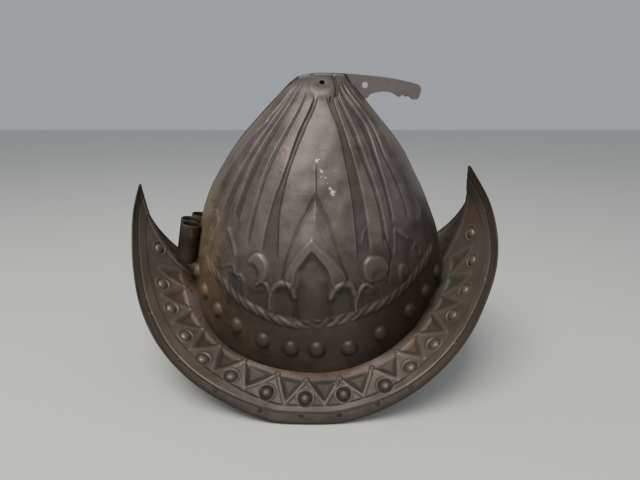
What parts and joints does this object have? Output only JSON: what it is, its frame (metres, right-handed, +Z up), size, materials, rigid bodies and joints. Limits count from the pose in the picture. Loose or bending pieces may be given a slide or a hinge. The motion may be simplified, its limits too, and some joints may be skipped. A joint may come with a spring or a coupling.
{
  "type": "morion helmet",
  "caption": "Two-part embossed sheet-metal morion helmet with a boat-shaped brim, a comb plate at the crown and plume tubes at the rear.",
  "frame": {"origin": "on the surface it rests on, under the middle of the helmet's bounding box", "axes": "+X towards the front peak, -Y towards the wearer's right, +Z up"},
  "size_m": [0.329, 0.2516, 0.2722],
  "materials": {
    "blackened_sheet": "blackened, semi-gloss, worn lighter on the relief, some rust and verdigris",
    "tube_sheet": "blackened, nearly matt, rusty at the top"
  },
  "bodies": {
    "root": {"bowl_half_right": "blackened_sheet", "bowl_half_left": "blackened_sheet", "brim_half_right": "blackened_sheet", "brim_half_left": "blackened_sheet", "comb_plate": "blackened_sheet", "plume_tube_right": "tube_sheet", "plume_tube_middle": "tube_sheet", "plume_tube_left": "tube_sheet"}
  },
  "joints": []
}
